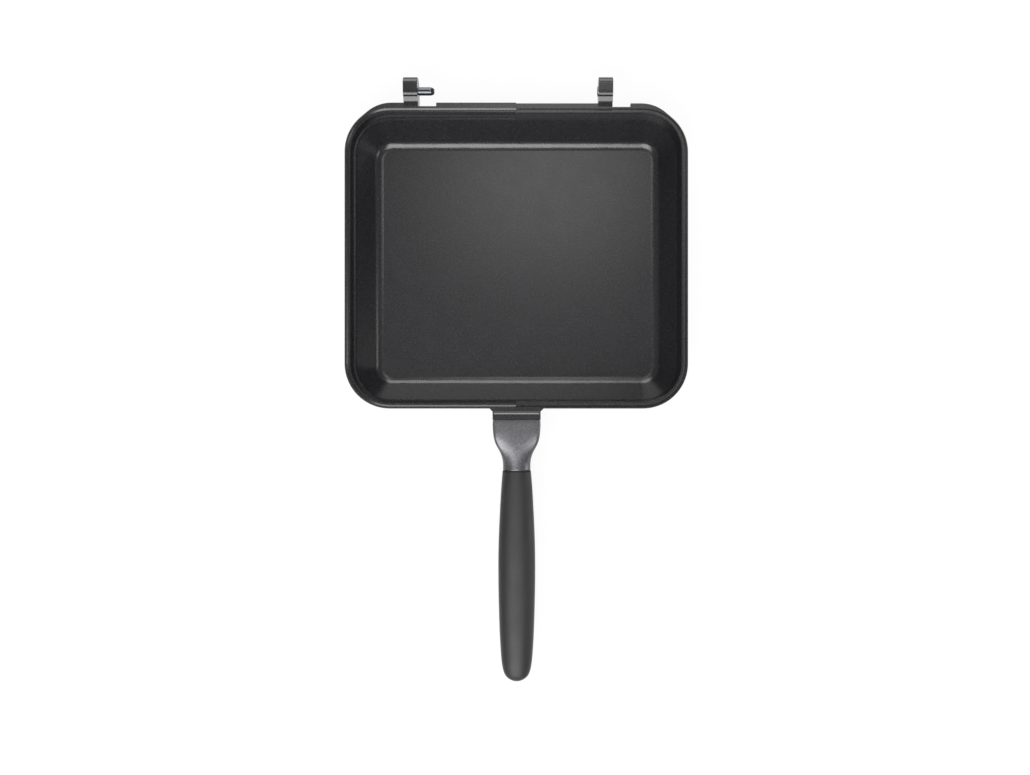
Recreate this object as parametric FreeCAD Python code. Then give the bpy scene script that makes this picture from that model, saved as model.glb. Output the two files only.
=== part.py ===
import FreeCAD, Part
import math
import os

os.makedirs("parts", exist_ok=True)
Vector = FreeCAD.Vector

# One half of a square double pan, in millimetres. Origin: centre of the flat base, on
# its underside. +Y points to the hinge, -Y to the grip, +Z up to the parting plane, on
# which a second copy of this half closes, turned half a turn about the Y axis.

# Pan, seen from above
pan_width = 274.9
pan_depth = 241.6
corner_radius = 36.0
half_height = 37.0
floor_thickness = 3.5
wall_thickness = 3.2
floor_width = 231.4
floor_depth = 196.8
floor_corner_radius = 12.3
floor_fillet = 8.4
base_edge_extra = 2.4
wall_bend_drop = 11.0
wall_bend_inset = 2.2

# Rim: a land stands above the ledge, outside on the left half and inside on the right.
# The mouth is wider on the left, and a groove runs along the foot of the land on the right.
rim_width = 5.4
rim_band_height = 8.5
step_height = 2.0
land_width = 2.9
land_clearance = 0.2
land_end_clearance = 0.4
land_edge_bevel = 0.5
step_bevel_width = 1.3
step_bevel_height = 1.0
mouth_widening = 1.2
mouth_widening_height = 9.0
land_groove_width = 1.7
land_groove_depth = 1.2
band_edge_bevel = 1.2

# Flange along the hinge side, proud of the rim
flange_proud = 3.0
flange_blend_angle = 50.0
flange_corner_radius = 30.0

# Hinge: the two lugs stand at unequal distances, and the notches let the mate's lugs in
hinge_reach = 12.0
lug_width = 11.4
lug_side_inset = 60.55
lug_side_gap = 1.8
notch_margin = 1.3
lug_slot_clearance = 0.1
lug_foot_length = 1.4
lug_crease_reach = 11.8
ramp_end_reach = 8.7
ramp_rise = 0.5
tread_start_reach = 8.5
tread_start_height = 2.5
tread_end_reach = 5.2
tread_end_height = 4.15
band_start_reach = 4.85
band_start_height = 5.2
band_bulge = 0.35
band_end_reach = 1.35
band_end_height = 6.8
crest_start_reach = 1.0
crest_start_height = 7.45
crest_rear_reach = 4.4
crest_end_reach = 5.4
crest_height = 8.0
knuckle_radius = 10.9
knuckle_start_angle = 30.0
knuckle_corner_bulge = 0.42
lug_edge_bevel = 0.4
plate_ear_length = 8.0
plate_thickness = 2.5
plate_depth = 4.0
plate_setback = 0.2
plate_seat_inset = 4.7
plate_seat_gap = 0.5

# Screws under the lug plates
lug_screw_diameter = 2.6
lug_screw_hole_clearance = 0.2
lug_screw_length = 8.0
lug_screw_head_diameter = 4.2
lug_screw_head_height = 1.8
lug_screw_inset = 4.0
screw_seat_clearance = 0.02
screw_tip_gap = 0.5
head_chamfer_share = 0.25
hex_key_share = 0.5
hex_key_depth_share = 0.55

# Pin and bush
pin_diameter = 6.5
pin_reach_past_lug = 13.1
pin_nose_length = 3.6
pin_tip_diameter = 2.6
pin_neck_length = 0.6
pin_neck_diameter = 5.6
pin_shank_diameter = 5.0
pin_shank_length = 8.0
bush_bore_clearance = 0.05
bush_wall = 0.75
bush_lip = 0.8
bush_chamfer = 0.4

# Boss for the handle: a ridge across its end, and a shelf below the ridge
boss_width = 38.6
boss_reach = 4.6
boss_root_chamfer = 2.4
boss_ridge_length = 2.6
boss_ridge_height = 0.42
boss_ridge_rear_slope = 1.4
boss_ridge_front_slope = 1.1
boss_end_chamfer = 0.2
boss_edge_width = 1.5
boss_edge_height = 1.8
shelf_reach = 9.2
shelf_drop = 0.9

# Neck: flat and square at the boss, crowned and nearly round at the collar
neck_gap = 0.2
neck_length = 40.7
neck_top_drop = 0.8
neck_collar_drop = 1.6
neck_bottom_drop = 13.0
neck_collar_bottom_drop = 16.0
neck_corner_radius = 2.2
neck_collar_radius = 5.2
neck_edge_chamfer = 0.5
collar_bevel_length = 0.8
collar_bevel_inset = 0.3
neck_station_shares = (0.0, 0.047, 0.205, 0.363, 0.501, 0.60, 0.70, 0.80, 0.916, 1.0)
neck_width_shares = (0.996, 0.996, 0.986, 0.943, 0.843, 0.728, 0.637, 0.588, 0.572, 0.576)
neck_round_shares = (0.0, 0.0, 0.0, 0.04, 0.17, 0.35, 0.6, 0.83, 1.0, 1.0)
neck_flat_crown_radius = 600.0
neck_collar_crown_radius = 15.5
groove_offset = 1.1
groove_width = 0.6
groove_depth = 0.9
tongue_width = 36.8
tongue_thickness = 3.8
tongue_overlap = 2.6
tongue_root = 4.0
tongue_seat_inset = 3.6
tongue_seat_gap = 0.5
tongue_corner_chamfer = 2.0
neck_screw_diameter = 4.0
neck_screw_hole_clearance = 0.2
neck_screw_length = 10.0
neck_screw_head_diameter = 7.0
neck_screw_head_height = 2.6
neck_screw_spacing = 20.0
neck_screw_inset = 1.0

# Tang, gasket and grip
tang_width = 12.0
tang_thickness = 7.0
tang_length = 78.0
tang_clearance = 0.15
tang_end_chamfer = 1.5
gasket_thickness = 1.1
gasket_overhang = 0.3
grip_length = 169.3
grip_width = 30.0
grip_thickness = 18.0
grip_top_drop = 0.8
grip_station_shares = (
    0.0, 0.02, 0.087, 0.183, 0.326, 0.469, 0.613, 0.756, 0.852, 0.90, 0.938, 0.966, 0.984, 0.995,
)
grip_width_shares = (
    0.77, 0.792, 0.85, 0.91, 0.979, 1.0, 0.979, 0.929, 0.87, 0.825, 0.758, 0.652, 0.485, 0.28,
)
grip_thickness_shares = (
    0.875, 0.885, 0.91, 0.935, 0.975, 1.0, 0.985, 0.95, 0.91, 0.875, 0.815, 0.71, 0.54, 0.32,
)
grip_roundness = 2.1
grip_section_points = 24

# Screw that holds the grip, from beneath
grip_screw_diameter = 4.0
grip_screw_hole_clearance = 0.2
grip_screw_length = 7.5
grip_screw_head_diameter = 7.0
grip_screw_head_height = 2.6
grip_screw_head_clearance = 0.3
grip_screw_sink = 1.2
grip_screw_place = 62.0

# Magnets under the skin of the grip, closed by a plug on the underside
magnet_diameter = 7.0
magnet_height = 4.0
magnet_spacing = 8.2
magnet_end_reach = 31.2
magnet_cap_depth = 3.9
magnet_clearance = 0.1
cover_clearance = 0.05
cover_sink = 0.3

# Overrun for all cuts, and the tolerance for finding an edge by its height
overrun = 3.0
finding_tolerance = 0.01

parting_z = half_height
ledge_z = parting_z - step_height / 2
land_z = parting_z + step_height / 2
band_bottom_z = parting_z - rim_band_height
half_width = pan_width / 2
half_depth = pan_depth / 2
inner_half_width = half_width - rim_width
inner_half_depth = half_depth - rim_width
inner_corner_radius = corner_radius - rim_width
wall_bend_z = ledge_z - wall_bend_drop
flange_y = half_depth + flange_proud
hinge_y = half_depth + hinge_reach
right_lug_outer_x = half_width - lug_side_inset
left_lug_inner_x = right_lug_outer_x + lug_side_gap
right_lug_inner_x = right_lug_outer_x - lug_width
left_lug_outer_x = left_lug_inner_x + lug_width


def box(x_range, y_range, z_range):
    """A box from its lowest and highest value along each axis."""
    size = [high - low for low, high in (x_range, y_range, z_range)]
    corner = Vector(x_range[0], y_range[0], z_range[0])
    return Part.makeBox(size[0], size[1], size[2], corner)


def rounded_outline(half_x, half_y, radius, z):
    """A closed outline of a rectangle with round corners, at one height."""
    reach_x = half_x - radius
    reach_y = half_y - radius
    edges = []
    corners = ((1, 1), (-1, 1), (-1, -1), (1, -1))
    for number, (side_x, side_y) in enumerate(corners):
        centre = Vector(side_x * reach_x, side_y * reach_y, z)
        turn = math.pi / 2 * number
        points = []
        for part in (0, 1, 2):
            angle = turn + math.pi / 4 * part
            points.append(centre + Vector(math.cos(angle), math.sin(angle), 0) * radius)
        edges.append(Part.Arc(points[0], points[1], points[2]).toShape())
        next_x, next_y = corners[(number + 1) % len(corners)]
        next_centre = Vector(next_x * reach_x, next_y * reach_y, z)
        quarter = turn + math.pi / 2
        start = next_centre + Vector(math.cos(quarter), math.sin(quarter), 0) * radius
        edges.append(Part.LineSegment(points[2], start).toShape())
    return Part.Wire(edges)


def prism(outline, height):
    """A straight solid that stands on a closed outline."""
    return Part.Face(outline).extrude(Vector(0, 0, height))


def level_edges(shape, z):
    """The edges of a shape that lie wholly at one height."""
    found = []
    for edge in shape.Edges:
        ends = edge.BoundBox
        if abs(ends.ZMin - z) < finding_tolerance and abs(ends.ZMax - z) < finding_tolerance:
            found.append(edge)
    return found


def between(low, high, share):
    """The value a share of the way from low to high."""
    return low + (high - low) * share


def wall_outline(z, spread):
    """The wall's outline at one height, spread outwards. It is steeper above its bend."""
    floor = (floor_width / 2, floor_depth / 2, floor_corner_radius)
    mouth = (inner_half_width, inner_half_depth, inner_corner_radius)
    bend = [size - wall_bend_inset for size in mouth]
    if z <= wall_bend_z:
        share = (z - floor_thickness) / (wall_bend_z - floor_thickness)
        sizes = [between(low, high, share) + spread for low, high in zip(floor, bend)]
    else:
        share = (z - wall_bend_z) / wall_bend_drop
        sizes = [between(low, high, share) + spread for low, high in zip(bend, mouth)]
    return rounded_outline(sizes[0], sizes[1], sizes[2], z)


def stack(outline, levels):
    """A solid through outlines at several heights, each with its own inset."""
    layers = []
    for (low, low_inset), (high, high_inset) in zip(levels, levels[1:]):
        pair = [outline(low, low_inset), outline(high, high_inset)]
        layers.append(Part.makeLoft(pair, True, True))
    return layers[0].multiFuse(layers[1:])


def mouth_outline(z, inset):
    """The upright edge of the cavity, inset inwards."""
    half_x = inner_half_width - inset
    half_y = inner_half_depth - inset
    return rounded_outline(half_x, half_y, inner_corner_radius - inset, z)


def split_outline(z, inset):
    """The line that parts the outer land from the inner one, inset inwards."""
    spread = land_width + inset
    return rounded_outline(half_width - spread, half_depth - spread, corner_radius - spread, z)


def rim_outline(z, inset):
    """The rim's outer edge: round corners, and the flange along the hinge side."""
    radius = corner_radius - inset
    bend_radius = flange_corner_radius - inset
    angle = math.radians(flange_blend_angle)
    centre_x = half_width - corner_radius
    centre_y = half_depth - corner_radius
    bend_y = flange_y - flange_corner_radius
    lift = corner_radius - flange_corner_radius - (bend_y - centre_y) * math.sin(angle)
    bend_x = centre_x + lift / math.cos(angle)
    right = [
        arc_about(centre_x, -centre_y, radius, -math.pi / 2, 0, z),
        arc_about(centre_x, centre_y, radius, 0, angle, z),
        arc_about(bend_x, bend_y, bend_radius, angle, math.pi / 2, z),
    ]
    left = [
        arc_about(-bend_x, bend_y, bend_radius, math.pi / 2, math.pi - angle, z),
        arc_about(-centre_x, centre_y, radius, math.pi - angle, math.pi, z),
        arc_about(-centre_x, -centre_y, radius, math.pi, 3 * math.pi / 2, z),
    ]
    arcs = right + left
    edges = []
    for arc, following in zip(arcs, arcs[1:] + arcs[:1]):
        edges.append(Part.Arc(arc[0], arc[1], arc[2]).toShape())
        edges.append(Part.LineSegment(arc[2], following[0]).toShape())
    return Part.Wire(edges)


def arc_about(centre_x, centre_y, radius, start, end, z):
    """First, middle and last point of an arc about a centre, between two angles."""
    points = []
    for angle in (start, (start + end) / 2, end):
        points.append(Vector(centre_x + radius * math.cos(angle), centre_y + radius * math.sin(angle), z))
    return points


def make_cavity():
    """The space inside the half: a tapered tray, round at the floor, flared at the mouth."""
    levels = (floor_thickness, wall_bend_z, ledge_z)
    tray = Part.makeLoft([wall_outline(z, 0) for z in levels], True, True)
    tray = tray.makeFillet(floor_fillet, level_edges(tray, floor_thickness))
    flare_z = land_z - land_edge_bevel
    mouth = stack(mouth_outline, [(ledge_z, 0), (flare_z, 0), (land_z, -land_edge_bevel)])
    above = stack(mouth_outline, [(land_z, -land_edge_bevel), (land_z + overrun, -land_edge_bevel)])
    widening = stack(mouth_outline, [(ledge_z - mouth_widening_height, 0), (ledge_z, -mouth_widening)])
    above_left = stack(mouth_outline, [(ledge_z, -mouth_widening), (land_z, -mouth_widening)])
    left = side_box(-pan_width, -land_end_clearance)
    return tray.multiFuse([mouth, above, widening.common(left), above_left.common(left)])


def side_box(low_x, high_x):
    """A block from one side to the other, deeper and higher than the whole pan."""
    return box((low_x, high_x), (-pan_depth, pan_depth), (-half_height, half_height + land_z))


def make_outer_wall():
    """The outside of the tray, parallel to its inside, with a wide round edge below."""
    slope = (inner_half_width - wall_bend_inset - floor_width / 2) / (wall_bend_z - floor_thickness)
    spread = wall_thickness * math.sqrt(1 + slope * slope)
    wall = Part.makeLoft([wall_outline(z, spread) for z in (0, wall_bend_z, ledge_z)], True, True)
    return wall.makeFillet(floor_fillet + base_edge_extra, level_edges(wall, 0))


def make_band():
    """The rim's band with its flange, its edges broken all round."""
    levels = [
        (band_bottom_z, band_edge_bevel),
        (band_bottom_z + band_edge_bevel, 0),
        (ledge_z - land_edge_bevel, 0),
        (ledge_z, land_edge_bevel),
    ]
    return stack(rim_outline, levels)


def make_outer_land():
    """The raised land on the left half, along the outer edge."""
    foot_z = ledge_z - land_edge_bevel
    shoulder_z = land_z - land_edge_bevel
    step_z = land_z - step_bevel_height
    land = stack(rim_outline, [(foot_z, 0), (shoulder_z, 0), (land_z, land_edge_bevel)])
    inside = stack(split_outline, [(foot_z, 0), (step_z, 0), (land_z, -step_bevel_width)])
    return land.cut(inside).common(side_box(-pan_width, -land_end_clearance))


def make_inner_land():
    """The raised land on the right half, along the cavity."""
    shoulder_z = land_z - land_edge_bevel
    side = land_clearance
    land = stack(split_outline, [(ledge_z, side), (shoulder_z, side), (land_z, side + land_edge_bevel)])
    return land.common(side_box(land_end_clearance, pan_width))


def make_land_groove():
    """The groove in the ledge along the foot of the inner land, as a cutter."""
    levels = [(ledge_z - land_groove_depth, 0), (ledge_z + overrun, 0)]
    outside = stack(split_outline, [(z, land_clearance - land_groove_width) for z, _ in levels])
    inside = stack(split_outline, [(z, land_clearance) for z, _ in levels])
    return outside.cut(inside).common(side_box(land_end_clearance, pan_width))


def make_boss():
    """The boss in front that carries the handle: flat, then a ridge, then a lower shelf."""
    root_y = -half_depth
    end_y = root_y - shelf_reach
    root_x = boss_width / 2 + boss_root_chamfer
    side_x = boss_width / 2
    tip_x = side_x - boss_end_chamfer
    inner_y = root_y + rim_width
    points = [(-root_x, inner_y), (-root_x, root_y), (-side_x, root_y - boss_root_chamfer)]
    points += [(-side_x, end_y + boss_end_chamfer), (-tip_x, end_y), (tip_x, end_y)]
    points += [(side_x, end_y + boss_end_chamfer), (side_x, root_y - boss_root_chamfer)]
    points += [(root_x, root_y), (root_x, inner_y), (-root_x, inner_y)]
    outline = Part.makePolygon([Vector(x, y, band_bottom_z) for x, y in points])
    boss = prism(outline, ledge_z + boss_ridge_height - band_bottom_z)
    ridge_end_y = root_y - boss_reach
    ridge_start_y = ridge_end_y + boss_ridge_length
    ridge_z = ledge_z + boss_ridge_height
    profile = [
        (inner_y, ledge_z),
        (ridge_start_y, ledge_z),
        (ridge_start_y - boss_ridge_rear_slope, ridge_z),
        (ridge_end_y + boss_ridge_front_slope, ridge_z),
        (ridge_end_y, ledge_z),
        (ridge_end_y, ledge_z - shelf_drop),
        (end_y, ledge_z - shelf_drop),
        (end_y, band_bottom_z),
        (inner_y, band_bottom_z),
        (inner_y, ledge_z),
    ]
    side_view = Part.makePolygon([Vector(-root_x, y, z) for y, z in profile])
    boss = boss.common(Part.Face(side_view).extrude(Vector(2 * root_x, 0, 0)))
    flat_x = side_x - boss_edge_width
    edge_z = ledge_z + boss_ridge_height
    corner = [(flat_x, edge_z), (root_x + overrun, edge_z)]
    corner += [(root_x + overrun, edge_z - boss_edge_height), (side_x, edge_z - boss_edge_height)]
    corner.append(corner[0])
    for side in (-1, 1):
        front_view = Part.makePolygon([Vector(side * x, end_y, z) for x, z in corner])
        boss = boss.cut(Part.Face(front_view).extrude(Vector(0, root_y - end_y, 0)))
    return boss


def upright_cylinder(x, y, bottom, top, diameter):
    """A round upright solid or cutter."""
    return Part.makeCylinder(diameter / 2, top - bottom, Vector(x, y, bottom))


lug_places = {
    "left": (-left_lug_outer_x, -left_lug_inner_x),
    "right": (right_lug_inner_x, right_lug_outer_x),
}
foot_y = half_depth - lug_foot_length
plate_outer_y = half_depth - plate_setback
plate_inner_y = plate_outer_y - plate_depth
lug_screw_y = (plate_outer_y + plate_inner_y) / 2
lug_screw_rise = lug_screw_length - plate_thickness
neck_screw_y = -half_depth - neck_screw_inset
neck_screw_rise = neck_screw_length - tongue_thickness
neck_screw_places = (-neck_screw_spacing / 2, neck_screw_spacing / 2)


def lug_screw_places():
    """Where the four screws of the lug plates stand."""
    places = []
    for low_x, high_x in lug_places.values():
        places.append(low_x - plate_ear_length + lug_screw_inset)
        places.append(high_x + plate_ear_length - lug_screw_inset)
    return places


def make_pan_body():
    """The cast tray with its stepped rim, flange, notches and boss."""
    body = make_outer_wall()
    body = body.multiFuse([make_band(), make_boss(), make_outer_land(), make_inner_land()])
    body = body.cut([make_cavity(), make_land_groove()])
    notches = (
        (-left_lug_inner_x, -right_lug_inner_x + notch_margin),
        (right_lug_outer_x, left_lug_outer_x + notch_margin),
    )
    height = (band_bottom_z - overrun, land_z + overrun)
    for notch in notches:
        body = body.cut(box(notch, (half_depth, flange_y + overrun), height))
    for low_x, high_x in lug_places.values():
        slot = (low_x - lug_slot_clearance, high_x + lug_slot_clearance)
        body = body.cut(box(slot, (foot_y, flange_y + overrun), height))
        seat = (low_x - plate_ear_length - plate_seat_gap, high_x + plate_ear_length + plate_seat_gap)
        body = body.cut(box(seat, (half_depth - plate_seat_inset, flange_y + overrun), (0, band_bottom_z)))
    seat = (-tongue_width / 2 - tongue_seat_gap, tongue_width / 2 + tongue_seat_gap)
    body = body.cut(box(seat, (neck_start_y, -half_depth + tongue_seat_inset), (0, band_bottom_z)))
    for x in lug_screw_places():
        top = band_bottom_z + lug_screw_rise + screw_tip_gap
        diameter = lug_screw_diameter + 2 * screw_seat_clearance
        body = body.cut(upright_cylinder(x, lug_screw_y, band_bottom_z - overrun, top, diameter))
    for x in neck_screw_places:
        top = band_bottom_z + neck_screw_rise + screw_tip_gap
        diameter = neck_screw_diameter + 2 * screw_seat_clearance
        body = body.cut(upright_cylinder(x, neck_screw_y, band_bottom_z - overrun, top, diameter))
    return body.removeSplitter()


def arc_through(first, middle, last):
    """An arc through three points."""
    return Part.Arc(first, middle, last).toShape()


def make_lug(side):
    """A hinge lug: foot in the rim's slot, ramp, tread, band, flat crest, round knuckle and plate."""
    low_x, high_x = lug_places[side]
    foot_z = {"left": land_z, "right": ledge_z}[side]

    def spot(reach, height):
        return Vector(low_x, hinge_y + reach, parting_z + height)

    plate_bottom = -rim_band_height - plate_thickness
    points = [
        spot(0, -knuckle_radius),
        Vector(low_x, plate_inner_y, parting_z + plate_bottom),
        Vector(low_x, plate_inner_y, band_bottom_z),
        Vector(low_x, foot_y, band_bottom_z),
        Vector(low_x, foot_y, foot_z),
        Vector(low_x, hinge_y - lug_crease_reach, foot_z),
        spot(-ramp_end_reach, foot_z - parting_z + ramp_rise),
        spot(-tread_start_reach, tread_start_height),
        spot(-tread_end_reach, tread_end_height),
        spot(-band_start_reach, band_start_height),
    ]
    edges = []
    for first, second in zip(points, points[1:]):
        edges.append(Part.LineSegment(first, second).toShape())
    band_end = spot(-band_end_reach, band_end_height)
    bulge = Vector(0, -band_bulge, band_bulge)
    edges.append(arc_through(points[-1], (points[-1] + band_end) / 2 + bulge, band_end))
    upper = [
        band_end,
        spot(-crest_start_reach, crest_start_height),
        spot(crest_rear_reach, crest_height),
        spot(crest_end_reach, crest_height),
    ]
    for first, second in zip(upper, upper[1:]):
        edges.append(Part.LineSegment(first, second).toShape())
    start = math.radians(knuckle_start_angle)
    half_way = (start - math.pi / 2) / 2
    knuckle = [
        spot(knuckle_radius * math.cos(start), knuckle_radius * math.sin(start)),
        spot(knuckle_radius * math.cos(half_way), knuckle_radius * math.sin(half_way)),
    ]
    bulge = Vector(0, knuckle_corner_bulge, knuckle_corner_bulge)
    edges.append(arc_through(upper[-1], (upper[-1] + knuckle[0]) / 2 + bulge, knuckle[0]))
    edges.append(arc_through(knuckle[0], knuckle[1], points[0]))
    lug = Part.Face(Part.Wire(edges)).extrude(Vector(lug_width, 0, 0))
    rims = []
    crest_start_y = hinge_y - crest_start_reach
    for edge in lug.Edges:
        ends = edge.BoundBox
        if ends.XLength < finding_tolerance and ends.YMax > crest_start_y - finding_tolerance:
            rims.append(edge)
    lug = lug.makeChamfer(lug_edge_bevel, rims)
    plate_x = (low_x - plate_ear_length, high_x + plate_ear_length)
    plate_z = (band_bottom_z - plate_thickness, band_bottom_z)
    plate = box(plate_x, (plate_inner_y, plate_outer_y), plate_z)
    lug = lug.fuse(plate).removeSplitter()
    hole = lug_screw_diameter + 2 * lug_screw_hole_clearance
    for x in (plate_x[0] + lug_screw_inset, plate_x[1] - lug_screw_inset):
        cutter = upright_cylinder(x, lug_screw_y, plate_z[0] - overrun, plate_z[1] + overrun, hole)
        lug = lug.cut(cutter)
    return lug


def cross_cylinder(radius, start_x, end_x):
    """A cylinder along the hinge axis."""
    centre = Vector(start_x, hinge_y, parting_z)
    return Part.makeCylinder(radius, end_x - start_x, centre, Vector(1, 0, 0))


def make_left_lug():
    """The left lug, with a blind hole for the pin's shank."""
    shank = cross_cylinder(
        pin_shank_diameter / 2,
        -left_lug_inner_x - pin_shank_length,
        -left_lug_inner_x + overrun,
    )
    return make_lug("left").cut(shank)


bush_inner_radius = pin_diameter / 2 + bush_bore_clearance
bush_outer_radius = bush_inner_radius + bush_wall


def make_right_lug():
    """The right lug, with a through hole for the bush."""
    hole = cross_cylinder(bush_outer_radius, right_lug_inner_x - overrun, right_lug_outer_x + overrun)
    return make_lug("right").cut(hole)


def turned(profile):
    """A solid turned about the hinge axis from a profile of places along it and radii."""
    points = [Vector(x, hinge_y, parting_z + radius) for x, radius in profile]
    points.append(points[0])
    centre = Vector(0, hinge_y, parting_z)
    return Part.Face(Part.makePolygon(points)).revolve(centre, Vector(1, 0, 0), 360)


def make_pin():
    """The hinge pin: shank in the lug, a short relief, the bearing length and the nose."""
    root_x = -left_lug_inner_x
    tip_x = root_x + pin_reach_past_lug
    nose_x = tip_x - pin_nose_length
    profile = [
        (root_x - pin_shank_length, 0),
        (root_x - pin_shank_length, pin_shank_diameter / 2),
        (root_x, pin_shank_diameter / 2),
        (root_x, pin_neck_diameter / 2),
        (root_x + pin_neck_length, pin_neck_diameter / 2),
        (root_x + pin_neck_length, pin_diameter / 2),
        (nose_x, pin_diameter / 2),
    ]
    nose_steps = 5
    for step in range(1, nose_steps + 1):
        turn = math.pi / 2 * step / nose_steps
        radius = between(pin_tip_diameter, pin_diameter, math.cos(turn)) / 2
        profile.append((nose_x + pin_nose_length * math.sin(turn), radius))
    profile.append((tip_x, 0))
    return turned(profile)


def make_bush():
    """The sleeve in the right lug, its lip proud on the inner side."""
    lip_x = right_lug_inner_x - bush_lip
    profile = [
        (lip_x, bush_inner_radius),
        (lip_x, bush_outer_radius - bush_chamfer),
        (lip_x + bush_chamfer, bush_outer_radius),
        (right_lug_outer_x, bush_outer_radius),
        (right_lug_outer_x, bush_inner_radius),
    ]
    return turned(profile)


def screw(x, y, seat_z, length, diameter, head_diameter, head_height):
    """A socket screw that points up, its head seated below a face."""
    head = Part.makeCylinder(head_diameter / 2, head_height, Vector(x, y, seat_z - head_height))
    head = head.makeChamfer(head_height * head_chamfer_share, level_edges(head, seat_z - head_height))
    body = head.fuse(Part.makeCylinder(diameter / 2, length, Vector(x, y, seat_z)))
    corners = []
    sides = 6
    for number in range(sides + 1):
        turn = 2 * math.pi * number / sides
        reach = head_diameter / 2 * hex_key_share
        corners.append(Vector(x + reach * math.cos(turn), y + reach * math.sin(turn), seat_z - head_height))
    key = prism(Part.makePolygon(corners), head_height * hex_key_depth_share)
    return body.cut(key).removeSplitter()


def make_lug_screws():
    """The four screws of the lug plates."""
    seat_z = band_bottom_z - plate_thickness
    screws = []
    for x in lug_screw_places():
        screws.append(screw(
            x, lug_screw_y, seat_z, lug_screw_length,
            lug_screw_diameter, lug_screw_head_diameter, lug_screw_head_height,
        ))
    return Part.makeCompound(screws)


def crowned_outline(half_x, top, bottom, radius, crown_radius, y):
    """A round-cornered section across the handle, its top and bottom crowned by large arcs."""
    centre_z = (top + bottom) / 2
    crown_z = top - crown_radius
    corner_x = half_x - radius
    corner_z = crown_z + math.sqrt((crown_radius - radius) ** 2 - corner_x ** 2)
    tilt = math.atan2(corner_z - crown_z, corner_x)
    half_tilt = tilt / 2
    quarter = [(half_x, corner_z)]
    for angle in (half_tilt, tilt):
        quarter.append((corner_x + radius * math.cos(angle), corner_z + radius * math.sin(angle)))

    def spot(point, side_x, side_z):
        return Vector(side_x * point[0], y, centre_z + side_z * (point[1] - centre_z))

    edges = []
    for side_x, side_z in ((1, 1), (-1, 1), (-1, -1), (1, -1)):
        corner = [spot(point, side_x, side_z) for point in quarter]
        if side_x * side_z < 0:
            corner.reverse()
        edges.append(arc_through(corner[0], corner[1], corner[2]))
        if side_x * side_z > 0:
            crest = spot((0, top), 1, side_z)
            edges.append(arc_through(corner[2], crest, spot(quarter[2], -side_x, side_z)))
        else:
            edges.append(Part.LineSegment(corner[2], spot(quarter[0], side_x, -side_z)).toShape())
    return Part.Wire(edges)


neck_start_y = -half_depth - shelf_reach - neck_gap
neck_end_y = neck_start_y - neck_length
tongue_top_z = band_bottom_z
tongue_bottom_z = tongue_top_z - tongue_thickness
grip_start_y = neck_end_y - gasket_thickness
grip_centre_z = parting_z - grip_top_drop - grip_thickness / 2


def neck_section(place, width_share, roundness, inset, y):
    """The neck's section a share of the way along it, inset all round."""
    top = parting_z - between(neck_top_drop, neck_collar_drop, roundness)
    bottom = parting_z - between(neck_bottom_drop, neck_collar_bottom_drop, place)
    radius = between(neck_corner_radius, neck_collar_radius, roundness)
    crown = 1 / between(1 / neck_flat_crown_radius, 1 / neck_collar_crown_radius, roundness)
    half_x = boss_width / 2 * width_share
    return crowned_outline(half_x - inset, top - inset, bottom + inset, radius - inset, crown - inset, y)


def make_neck():
    """The cast neck: flat and wide at the boss, oval at the collar, with tongue and tang."""
    sections = []
    stations = list(zip(neck_station_shares, neck_width_shares, neck_round_shares))
    for place, width, roundness in stations:
        y = neck_start_y - neck_length * place
        if place == 1:
            y += collar_bevel_length
        sections.append(neck_section(place, width, roundness, 0, y))
    neck = Part.makeLoft(sections, True, False)
    end = neck_section(*stations[-1], collar_bevel_inset, neck_end_y)
    neck = neck.fuse(Part.makeLoft([sections[-1], end], True, True))
    across = (-boss_width, boss_width)
    face_z = parting_z - neck_top_drop
    lip_points = [
        (neck_start_y + overrun, face_z - neck_edge_chamfer - overrun),
        (neck_start_y - neck_edge_chamfer - overrun, face_z + overrun),
        (neck_start_y + overrun, face_z + overrun),
    ]
    lip_points.append(lip_points[0])
    lip = Part.Face(Part.makePolygon([Vector(-boss_width, y, z) for y, z in lip_points]))
    lip = lip.extrude(Vector(2 * boss_width, 0, 0))
    groove_y = neck_start_y - groove_offset
    groove = box(across, (groove_y - groove_width, groove_y), (face_z - groove_depth, parting_z))
    neck = neck.cut([lip, groove])
    tongue = box(
        (-tongue_width / 2, tongue_width / 2),
        (neck_start_y - tongue_root, -half_depth + tongue_overlap),
        (tongue_bottom_z, tongue_top_z),
    )
    corners = []
    for edge in tongue.Edges:
        ends = edge.BoundBox
        front = abs(ends.YMin + half_depth - tongue_overlap) < finding_tolerance
        if front and ends.ZLength > tongue_thickness / 2:
            corners.append(edge)
    tongue = tongue.makeChamfer(tongue_corner_chamfer, corners)
    tang = box(
        (-tang_width / 2, tang_width / 2),
        (neck_end_y - tang_length, neck_end_y + overrun),
        (grip_centre_z - tang_thickness / 2, grip_centre_z + tang_thickness / 2),
    )
    tip_edges = []
    for edge in tang.Edges:
        ends = edge.BoundBox
        if abs(ends.YMax - neck_end_y + tang_length) < finding_tolerance:
            tip_edges.append(edge)
    tang = tang.makeChamfer(tang_end_chamfer, tip_edges)
    neck = neck.fuse([tongue, tang])
    for x in neck_screw_places:
        diameter = neck_screw_diameter + 2 * neck_screw_hole_clearance
        low = tongue_bottom_z - overrun
        neck = neck.cut(upright_cylinder(x, neck_screw_y, low, tongue_top_z + overrun, diameter))
    hole = upright_cylinder(
        0, grip_screw_y, grip_centre_z - grip_thickness, grip_screw_top_z + screw_tip_gap,
        grip_screw_diameter + 2 * screw_seat_clearance,
    )
    return neck.cut(hole).removeSplitter()


def make_neck_screws():
    """The two screws through the tongue into the boss."""
    screws = []
    for x in neck_screw_places:
        screws.append(screw(
            x, neck_screw_y, tongue_bottom_z, neck_screw_length,
            neck_screw_diameter, neck_screw_head_diameter, neck_screw_head_height,
        ))
    return Part.makeCompound(screws)


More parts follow.
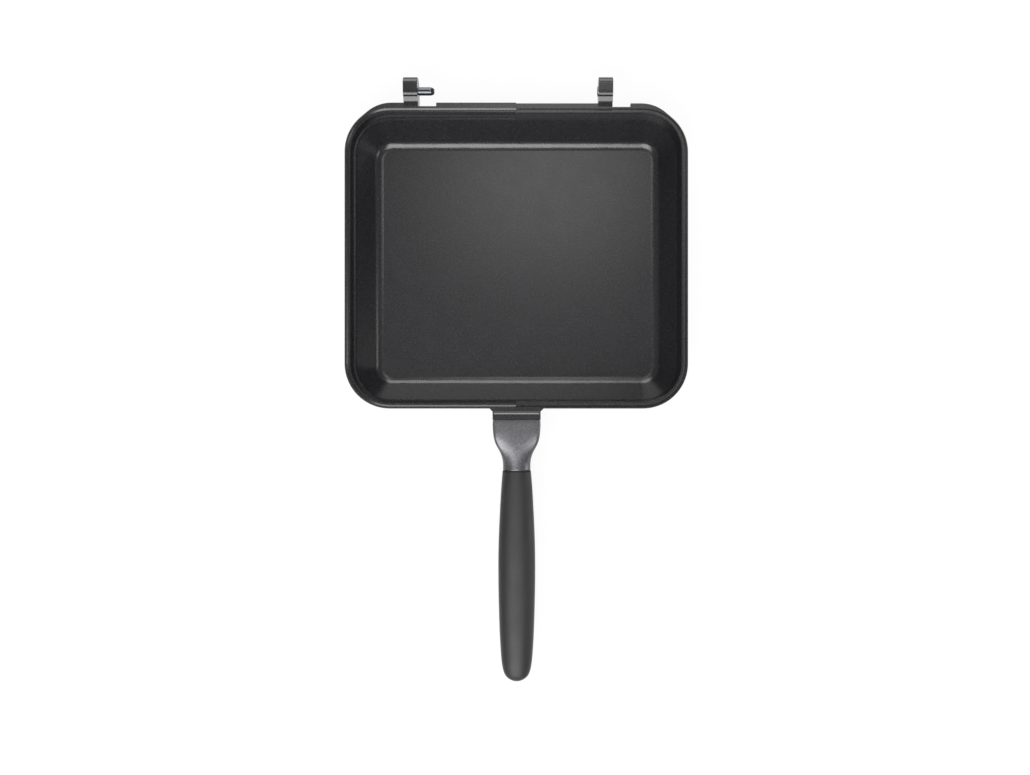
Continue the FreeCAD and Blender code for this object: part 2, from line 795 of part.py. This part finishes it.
def make_gasket():
    """The thin ring between the collar and the grip, a little proud, with a window for the tang."""
    outline = neck_section(1, neck_width_shares[-1], neck_round_shares[-1], -gasket_overhang, neck_end_y)
    ring = Part.Face(outline).extrude(Vector(0, -gasket_thickness, 0))
    return ring.cut(tang_window(neck_end_y + overrun, grip_start_y - overrun))


def tang_window(front_y, back_y):
    """The room that the tang needs between two places along the handle."""
    half_x = tang_width / 2 + tang_clearance
    half_z = tang_thickness / 2 + tang_clearance
    return box((-half_x, half_x), (back_y, front_y), (grip_centre_z - half_z, grip_centre_z + half_z))


def grip_section(width_share, thickness_share, y):
    """One closed, rounded section of the grip."""
    half_x = grip_width / 2 * width_share
    half_z = grip_thickness / 2 * thickness_share
    power = 2 / grip_roundness
    points = []
    for number in range(grip_section_points):
        turn = 2 * math.pi * number / grip_section_points
        across = math.copysign(abs(math.cos(turn)) ** power, math.cos(turn))
        upward = math.copysign(abs(math.sin(turn)) ** power, math.sin(turn))
        points.append(Vector(half_x * across, y, grip_centre_z + half_z * upward))
    curve = Part.BSplineCurve()
    curve.interpolate(Points=points, PeriodicFlag=True, Parameters=list(range(grip_section_points + 1)))
    return Part.Wire(curve.toShape())


grip_end_y = grip_start_y - grip_length
grip_screw_y = grip_start_y - grip_screw_place
grip_seat_z = grip_centre_z - grip_thickness / 2 + grip_screw_sink + grip_screw_head_height
grip_screw_top_z = grip_seat_z + grip_screw_length
magnet_y = grip_end_y + magnet_end_reach
magnet_top_z = parting_z - grip_top_drop - magnet_cap_depth
magnet_bottom_z = magnet_top_z - magnet_height


def magnet_pocket(spread, bottom, top):
    """The slot with round ends that holds the two magnets."""
    radius = magnet_diameter / 2 + spread
    reach = magnet_spacing / 2
    right = arc_about(reach, magnet_y, radius, -math.pi / 2, math.pi / 2, bottom)
    left = arc_about(-reach, magnet_y, radius, math.pi / 2, 3 * math.pi / 2, bottom)
    edges = [arc_through(right[0], right[1], right[2]), arc_through(left[0], left[1], left[2])]
    edges.insert(1, Part.LineSegment(right[2], left[0]).toShape())
    edges.append(Part.LineSegment(left[2], right[0]).toShape())
    return prism(Part.Wire(edges), top - bottom)


def make_grip_shape():
    """The outer shape of the grip, from the collar to its rounded end."""
    sections = []
    for place, width, thickness in zip(grip_station_shares, grip_width_shares, grip_thickness_shares):
        sections.append(grip_section(width, thickness, grip_start_y - grip_length * place))
    sections.append(Part.Vertex(0, grip_end_y, grip_centre_z))
    return Part.makeLoft(sections, True, False)


def make_grip(shape):
    """The grip with its socket for the tang, the sunk screw hole and the magnet pocket."""
    low = grip_centre_z - grip_thickness
    socket = tang_window(grip_start_y + overrun, neck_end_y - tang_length - tang_clearance)
    head = grip_screw_head_diameter + 2 * grip_screw_head_clearance
    hole = grip_screw_diameter + 2 * grip_screw_hole_clearance
    cutters = [
        socket,
        upright_cylinder(0, grip_screw_y, low, grip_seat_z, head),
        upright_cylinder(0, grip_screw_y, low, grip_centre_z, hole),
        magnet_pocket(magnet_clearance, low, magnet_top_z + magnet_clearance),
    ]
    return shape.cut(cutters)


def make_grip_screw():
    """The screw through the grip into the tang."""
    return screw(
        0, grip_screw_y, grip_seat_z, grip_screw_length,
        grip_screw_diameter, grip_screw_head_diameter, grip_screw_head_height,
    )


def make_magnet(side):
    """One of the two discs that pull the mate's discs: side is -1 on the left, 1 on the right."""
    x = side * magnet_spacing / 2
    return upright_cylinder(x, magnet_y, magnet_bottom_z, magnet_top_z, magnet_diameter)


def make_magnet_cover(shape):
    """The plug under the magnets, flush with the round underside of the grip."""
    low = grip_centre_z - grip_thickness
    plug = magnet_pocket(magnet_clearance - cover_clearance, low, magnet_bottom_z)
    skin = shape.copy()
    skin.translate(Vector(0, 0, cover_sink))
    return plug.common(skin)


grip_shape = make_grip_shape()
nodes = {
    "pan_body": make_pan_body(),
    "hinge_lug_left": make_left_lug(),
    "hinge_lug_right": make_right_lug(),
    "lug_screws": make_lug_screws(),
    "hinge_pin": make_pin(),
    "hinge_bush": make_bush(),
    "handle_neck": make_neck(),
    "neck_screws": make_neck_screws(),
    "collar_gasket": make_gasket(),
    "grip": make_grip(grip_shape),
    "grip_screw": make_grip_screw(),
    "closing_magnet_left": make_magnet(-1),
    "closing_magnet_right": make_magnet(1),
    "magnet_cover": make_magnet_cover(grip_shape),
}
for name, shape in nodes.items():
    shape.exportStep("parts/" + name + ".step")
    print(name, len(shape.Solids), round(shape.Volume), shape.isValid())
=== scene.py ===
import math

import bpy
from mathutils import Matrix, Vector

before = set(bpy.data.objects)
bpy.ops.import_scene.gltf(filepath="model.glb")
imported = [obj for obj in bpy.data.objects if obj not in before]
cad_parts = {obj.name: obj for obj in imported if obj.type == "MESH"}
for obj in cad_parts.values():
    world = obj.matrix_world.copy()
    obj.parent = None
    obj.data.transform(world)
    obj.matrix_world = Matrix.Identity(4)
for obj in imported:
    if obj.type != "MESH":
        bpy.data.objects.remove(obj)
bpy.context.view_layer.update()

# The view. The photograph looks straight down into the half from about 0.8 m above its
# rim. The rim plane is 0.8 mm to the pixel, and the frame is 1030 x 775 pixels.
photo_width = 1030
photo_height = 775
metres_per_pixel = 0.0008
pan_centre_pixel_x = 516.5
pan_centre_pixel_y = 257.5
axis_pixel_x = 540.0
axis_pixel_y = 420.0
rim_height = 0.037
camera_above_rim = 0.83
sensor_width = 36.0

camera_data = bpy.data.cameras.new("camera")
camera_data.sensor_width = sensor_width
camera_data.lens = sensor_width * camera_above_rim / (photo_width * metres_per_pixel)
camera_data.shift_x = (photo_width / 2 - axis_pixel_x) / photo_width
camera_data.shift_y = (axis_pixel_y - photo_height / 2) / photo_width
camera = bpy.data.objects.new("camera", camera_data)
camera.location = (
    (axis_pixel_x - pan_centre_pixel_x) * metres_per_pixel,
    (pan_centre_pixel_y - axis_pixel_y) * metres_per_pixel,
    rim_height + camera_above_rim,
)
bpy.context.scene.collection.objects.link(camera)
bpy.context.scene.camera = camera
bpy.context.scene.view_settings.view_transform = "Standard"


# The floor is a plain white sheet, a hair below the base. It keeps a faint shadow of the
# half, and turns fully white further away, so that no horizon shows.
white = "#FFFFFF"
floor_size = 12.0
floor_drop = 0.0003
floor_glow = 0.92
shadow_reach = 0.5
white_reach = 1.6

# The curve of the sRGB standard, from a stored channel to linear light.
channel_top = 255
straight_end = 0.04045
straight_slope = 12.92
curve_offset = 0.055
curve_power = 2.4


def linear(hex_colour):
    """The linear RGBA of an sRGB hex colour."""
    channels = []
    for start in (1, 3, 5):
        value = int(hex_colour[start:start + 2], 16) / channel_top
        if value <= straight_end:
            channels.append(value / straight_slope)
        else:
            channels.append(((value + curve_offset) / (1 + curve_offset)) ** curve_power)
    return (*channels, 1.0)


def add_node(tree, kind, links=(), **settings):
    """Adds a node: settings are its properties or sockets by name, links are (output, input)."""
    node = tree.nodes.new(kind)
    for name, value in settings.items():
        if hasattr(node, name):
            setattr(node, name, value)
        else:
            node.inputs[name.replace("_", " ")].default_value = value
    for output, socket in links:
        tree.links.new(output, node.inputs[socket])
    return node


bpy.ops.mesh.primitive_plane_add(size=floor_size, location=(0, 0, -floor_drop))
floor = bpy.context.object
floor.name = "floor"
sheet = bpy.data.materials.new("white_sheet")
sheet.use_nodes = True
tree = sheet.node_tree
tree.nodes.clear()
paper = add_node(tree, "ShaderNodeBsdfDiffuse", Color=linear(white))
glow = add_node(tree, "ShaderNodeEmission", Color=linear(white))
ray = add_node(tree, "ShaderNodeLightPath")
seen = add_node(
    tree, "ShaderNodeMath", operation="MAXIMUM",
    links=[(ray.outputs["Is Camera Ray"], 0), (ray.outputs["Is Glossy Ray"], 1)],
)
seen = add_node(
    tree, "ShaderNodeMath", operation="MAXIMUM",
    links=[(seen.outputs[0], 0), (ray.outputs["Is Transmission Ray"], 1)],
)
place = add_node(tree, "ShaderNodeTexCoord").outputs["Object"]
reach = add_node(tree, "ShaderNodeVectorMath", operation="LENGTH", links=[(place, 0)])
whiteness = add_node(
    tree, "ShaderNodeMapRange", From_Min=shadow_reach, From_Max=white_reach, To_Min=floor_glow,
    links=[(reach.outputs["Value"], "Value")],
)
share = add_node(
    tree, "ShaderNodeMath", operation="MULTIPLY",
    links=[(seen.outputs[0], 0), (whiteness.outputs[0], 1)],
)
surface = add_node(
    tree, "ShaderNodeMixShader",
    links=[(share.outputs[0], 0), (paper.outputs[0], 1), (glow.outputs[0], 2)],
)
add_node(tree, "ShaderNodeOutputMaterial", links=[(surface.outputs[0], "Surface")])
floor.data.materials.append(sheet)


# The room is white for the camera and in a narrow band at the horizon. It is dark
# overhead, so that upward faces mirror a dim ceiling and not a bright sky.
horizon_strength = 1.0
ceiling_strength = 0.24
ceiling_starts_at = 0.2

room = bpy.data.worlds.new("room")
room.use_nodes = True
tree = room.node_tree
tree.nodes.clear()
direction = add_node(tree, "ShaderNodeTexCoord")
height = add_node(tree, "ShaderNodeSeparateXYZ", links=[(direction.outputs["Generated"], 0)])
strength = add_node(
    tree, "ShaderNodeMapRange", interpolation_type="SMOOTHSTEP",
    From_Max=ceiling_starts_at, To_Min=horizon_strength, To_Max=ceiling_strength,
    links=[(height.outputs["Z"], "Value")],
)
ray = add_node(tree, "ShaderNodeLightPath")
strength = add_node(
    tree, "ShaderNodeMath", operation="MAXIMUM",
    links=[(strength.outputs[0], 0), (ray.outputs["Is Camera Ray"], 1)],
)
walls = add_node(
    tree, "ShaderNodeBackground", Color=linear(white),
    links=[(strength.outputs[0], "Strength")],
)
add_node(tree, "ShaderNodeOutputWorld", links=[(walls.outputs[0], "Surface")])
bpy.context.scene.world = room


# The lamps. The photograph's highlights lie on the fillets in front and behind, so two
# large softboxes face each other across the hinge and the grip. A dimmer panel nearly
# overhead makes the floor lighter towards the hinge, and small ones stand left and right.
lamp_distance = 1.6
cool_white = "#E8F0FF"


def add_lamp(name, bearing, tilt, width, height, glow, colour=white):
    """A soft rectangular lamp: bearing from +X and tilt from overhead, both in degrees.

    The glow is the brightness of its face, where 1 is white.
    """
    data = bpy.data.lights.new(name, "AREA")
    data.shape = "RECTANGLE"
    data.size = width
    data.size_y = height
    data.energy = glow * math.pi * width * height
    data.color = linear(colour)[:3]
    lamp = bpy.data.objects.new(name, data)
    bpy.context.scene.collection.objects.link(lamp)
    turn = math.radians(bearing)
    lean = math.radians(tilt)
    outwards = math.sin(lean)
    place = Vector((outwards * math.cos(turn), outwards * math.sin(turn), math.cos(lean)))
    lamp.location = place * lamp_distance
    lamp.rotation_euler = place.to_track_quat("Z", "Y").to_euler()


add_lamp("hinge_side_softbox", bearing=98, tilt=61, width=0.95, height=1.1, glow=3.9)
add_lamp("grip_side_softbox", bearing=-102, tilt=39, width=1.15, height=1.25, glow=6.0)
add_lamp("hinge_side_panel", bearing=86, tilt=21, width=0.44, height=0.7, glow=2.15)
add_lamp("right_panel", bearing=-8, tilt=66, width=0.6, height=0.6, glow=3.2)
add_lamp("left_panel", bearing=212, tilt=58, width=0.4, height=0.5, glow=0.4, colour=cool_white)


# The tray is die-cast aluminium, sprayed inside and out with a dark grey non-stick coat
# that carries a fine mineral fleck. The coat is satin, with a slight orange peel.
coat_dark = "#19191B"
coat_body = "#1D1D1F"
coat_fleck = "#303134"
coat_dark_end = 0.32
coat_body_middle = 0.52
coat_fleck_start = 0.78
coat_roughness = 0.27
coat_roughness_spread = 0.02
coat_ior = 1.6
grain_size = 0.0011
fleck_spacing = 0.0021
fleck_core = 0.10
fleck_rim = 0.30
fleck_weight = 0.12
mottle_size = 0.014
peel_size = 0.0016
peel_depth = 0.000006

# A noise seldom leaves the middle of its range, so colours and values run over that part.
noise_low = 0.35
noise_high = 0.65
tone_start = 0.3
tone_end = 0.7
plain_detail = 2.0


def new_material(name):
    """An empty material with a Principled shader: gives its tree, object coordinates and shader."""
    material = bpy.data.materials.new(name)
    material.use_nodes = True
    tree = material.node_tree
    tree.nodes.clear()
    place = add_node(tree, "ShaderNodeTexCoord").outputs["Object"]
    shader = add_node(tree, "ShaderNodeBsdfPrincipled")
    add_node(tree, "ShaderNodeOutputMaterial", links=[(shader.outputs[0], "Surface")])
    return material, tree, place, shader


def noise(tree, place, size, detail=plain_detail):
    """Noise whose grains are about as large as a size in metres."""
    return add_node(
        tree, "ShaderNodeTexNoise", Scale=1 / size, Detail=detail, links=[(place, "Vector")],
    ).outputs["Fac"]


def ramp(tree, value, stops):
    """A colour for each stretch of a value, from stops of (position, hex colour)."""
    node = add_node(tree, "ShaderNodeValToRGB", links=[(value, "Fac")])
    colours = node.color_ramp.elements
    colours[0].position, colours[0].color = stops[0][0], linear(stops[0][1])
    colours[1].position, colours[1].color = stops[-1][0], linear(stops[-1][1])
    for position, colour in stops[1:-1]:
        colours.new(position).color = linear(colour)
    return node.outputs["Color"]


def two_tone(tree, shader, value, dark, light):
    """Gives a shader a base colour that follows a noise from dark to light."""
    colour = ramp(tree, value, [(tone_start, dark), (tone_end, light)])
    tree.links.new(colour, shader.inputs["Base Color"])


def spread(tree, value, low, high, start=noise_low, end=noise_high):
    """A value between start and end, stretched to run from low to high."""
    return add_node(
        tree, "ShaderNodeMapRange", From_Min=start, From_Max=end, To_Min=low, To_Max=high,
        links=[(value, "Value")],
    ).outputs[0]


def roughen(tree, shader, value, low, high, start=noise_low, end=noise_high):
    """Gives a shader a roughness that follows a value from low to high."""
    tree.links.new(spread(tree, value, low, high, start, end), shader.inputs["Roughness"])


def bump(tree, shader, height, depth):
    """Gives a shader a bump of a depth in metres."""
    relief = add_node(tree, "ShaderNodeBump", Distance=depth, links=[(height, "Height")])
    tree.links.new(relief.outputs[0], shader.inputs["Normal"])


def flecked_coat(name, dark, body, fleck, roughness):
    """A sprayed non-stick coat: dark body, mineral fleck, soft mottle and orange peel."""
    material, tree, place, shader = new_material(name)
    grain = noise(tree, place, grain_size)
    mottle = noise(tree, place, mottle_size)
    cells = add_node(
        tree, "ShaderNodeTexVoronoi", Scale=1 / fleck_spacing, links=[(place, "Vector")],
    )
    specks = spread(tree, cells.outputs["Distance"], 1.0, 0.0, fleck_core, fleck_rim)
    weight = add_node(tree, "ShaderNodeMath", operation="MULTIPLY", links=[(specks, 0)])
    weight.inputs[1].default_value = fleck_weight
    mixed = add_node(
        tree, "ShaderNodeMath", operation="ADD", links=[(grain, 0), (weight.outputs[0], 1)],
    )
    stops = [(coat_dark_end, dark), (coat_body_middle, body), (coat_fleck_start, fleck)]
    tree.links.new(ramp(tree, mixed.outputs[0], stops), shader.inputs["Base Color"])
    half_spread = coat_roughness_spread / 2
    roughen(tree, shader, mottle, roughness - half_spread, roughness + half_spread)
    shader.inputs["IOR"].default_value = coat_ior
    bump(tree, shader, noise(tree, place, peel_size), peel_depth)
    return material


def dress(node, material):
    """Gives a carried-over node its material."""
    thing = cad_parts[node]
    thing.data.materials.clear()
    thing.data.materials.append(material)


pan_coat = flecked_coat(
    "sprayed_nonstick_coat", coat_dark, coat_body, coat_fleck, coat_roughness,
)
dress("pan_body", pan_coat)


# The two hinge lugs are separate castings with the same coat, baked on thinner over a
# smoother casting, so they shine more than the tray. Screws hold them from beneath.
# The lug colours are a shade darker than the tray's coat: painted shade, standing in for the dim
# low parts of the lugs.
lug_shaded_dark = "#141416"
lug_shaded_body = "#18181A"
lug_shaded_fleck = "#2A2B2E"
lug_roughness = 0.24

lug_coat_painted_shade = flecked_coat("lug_coat_painted_shade", lug_shaded_dark, lug_shaded_body, lug_shaded_fleck, lug_roughness)
for name in ("hinge_lug_left", "hinge_lug_right"):
    dress(name, lug_coat_painted_shade)


# The hinge pin is ground steel, darkened, with a bullet nose. The bush in the other lug
# is turned steel. Both show fine turning marks round their axis.
pin_colour = "#54565A"
pin_roughness = 0.18
pin_mark_spacing = 0.0004
pin_mark_depth = 0.000002
bush_colour = "#77797C"
bush_roughness = 0.35
bush_mark_spacing = 0.0005
bush_mark_depth = 0.000004
bands_per_scale = 20
mark_distortion = 1.5
mark_detail = 1.0
mark_swing = 0.2


def turned_steel(name, colour, roughness, mark_spacing, mark_depth):
    """Steel turned about an axis along X, with fine rings."""
    material, tree, place, shader = new_material(name)
    shader.inputs["Base Color"].default_value = linear(colour)
    shader.inputs["Metallic"].default_value = 1.0
    rings = add_node(
        tree, "ShaderNodeTexWave", wave_type="BANDS", bands_direction="X",
        Scale=1 / mark_spacing / bands_per_scale, Distortion=mark_distortion,
        Detail=mark_detail, links=[(place, "Vector")],
    ).outputs["Fac"]
    low = roughness * (1 - mark_swing)
    high = roughness * (1 + mark_swing)
    roughen(tree, shader, rings, low, high, start=0.0, end=1.0)
    bump(tree, shader, rings, mark_depth)
    return material


pin_steel = turned_steel(
    "darkened_ground_steel", pin_colour, pin_roughness, pin_mark_spacing, pin_mark_depth,
)
dress("hinge_pin", pin_steel)
bush_steel = turned_steel(
    "turned_bush_steel", bush_colour, bush_roughness, bush_mark_spacing, bush_mark_depth,
)
dress("hinge_bush", bush_steel)


# All screws are steel with a thin, slightly yellowish zinc plating, dulled by handling.
zinc_dark = "#A3A4A2"
zinc_light = "#C4C4BE"
zinc_bloom_size = 0.0012
zinc_bloom_detail = 3.0
zinc_smoothest = 0.28
zinc_roughest = 0.42

zinc, tree, place, shader = new_material("zinc_plated_steel")
bloom = noise(tree, place, zinc_bloom_size, zinc_bloom_detail)
two_tone(tree, shader, bloom, zinc_dark, zinc_light)
shader.inputs["Metallic"].default_value = 1.0
roughen(tree, shader, bloom, zinc_smoothest, zinc_roughest)
for name in ("lug_screws", "neck_screws", "grip_screw"):
    dress(name, zinc)


# The neck is die-cast aluminium with a silver-grey metallic paint. The paint's flakes and
# the blasted casting under it make it sparkle a little.
paint_dark = "#5C5C5E"
paint_light = "#747477"
paint_metal_share = 0.8
flake_size = 0.0013
flake_detail = 4.0
paint_smoothest = 0.31
paint_roughest = 0.37
blast_size = 0.0015
blast_depth = 0.00001

paint, tree, place, shader = new_material("silver_grey_metallic_paint")
flakes = noise(tree, place, flake_size, flake_detail)
two_tone(tree, shader, flakes, paint_dark, paint_light)
shader.inputs["Metallic"].default_value = paint_metal_share
roughen(tree, shader, flakes, paint_smoothest, paint_roughest)
bump(tree, shader, noise(tree, place, blast_size), blast_depth)
dress("handle_neck", paint)


# The ring between the neck and the grip is black silicone, moulded and matt.
silicone_dark = "#0B0B0C"
silicone_light = "#131314"
silicone_bloom_size = 0.002
silicone_roughness = 0.6
silicone_ior = 1.41

silicone, tree, place, shader = new_material("black_silicone")
bloom = noise(tree, place, silicone_bloom_size)
two_tone(tree, shader, bloom, silicone_dark, silicone_light)
shader.inputs["Roughness"].default_value = silicone_roughness
shader.inputs["IOR"].default_value = silicone_ior
dress("collar_gasket", silicone)


# The grip is a phenolic moulding with a soft-touch coat: dark grey, matt and a little
# velvety. The plug under the magnets is bare moulded plastic, a little smoother.
grip_dark = "#19191A"
grip_light = "#202021"
grip_roughness = 0.5
plug_dark = "#242425"
plug_light = "#2A2A2B"
plug_roughness = 0.42
matt_grain_size = 0.0009
matt_grain_detail = 3.0
matt_grain_depth = 0.00001
wear_size = 0.02
wear_spread = 0.08
velvet_weight = 0.2
velvet_roughness = 0.4


def matt_plastic(name, dark, light, roughness):
    """A matt plastic surface with a very fine grain and a little velvet."""
    material, tree, place, shader = new_material(name)
    grain = noise(tree, place, matt_grain_size, matt_grain_detail)
    wear = noise(tree, place, wear_size)
    two_tone(tree, shader, grain, dark, light)
    roughen(tree, shader, wear, roughness - wear_spread / 2, roughness + wear_spread / 2)
    shader.inputs["Sheen Weight"].default_value = velvet_weight
    shader.inputs["Sheen Roughness"].default_value = velvet_roughness
    bump(tree, shader, grain, matt_grain_depth)
    return material


dress("grip", matt_plastic("soft_touch_coat", grip_dark, grip_light, grip_roughness))
dress("magnet_cover", matt_plastic("moulded_plug_plastic", plug_dark, plug_light, plug_roughness))


# The closing magnets are two nickel-plated discs. They lie under the grip's skin, behind
# the plug, and nothing of them shows.
nickel_dark = "#BDB8AE"
nickel_light = "#CCC8BF"
nickel_bloom_size = 0.002
nickel_smoothest = 0.15
nickel_roughest = 0.22

nickel, tree, place, shader = new_material("nickel_plating")
bloom = noise(tree, place, nickel_bloom_size)
two_tone(tree, shader, bloom, nickel_dark, nickel_light)
shader.inputs["Metallic"].default_value = 1.0
roughen(tree, shader, bloom, nickel_smoothest, nickel_roughest)
for name in ("closing_magnet_left", "closing_magnet_right"):
    dress(name, nickel)
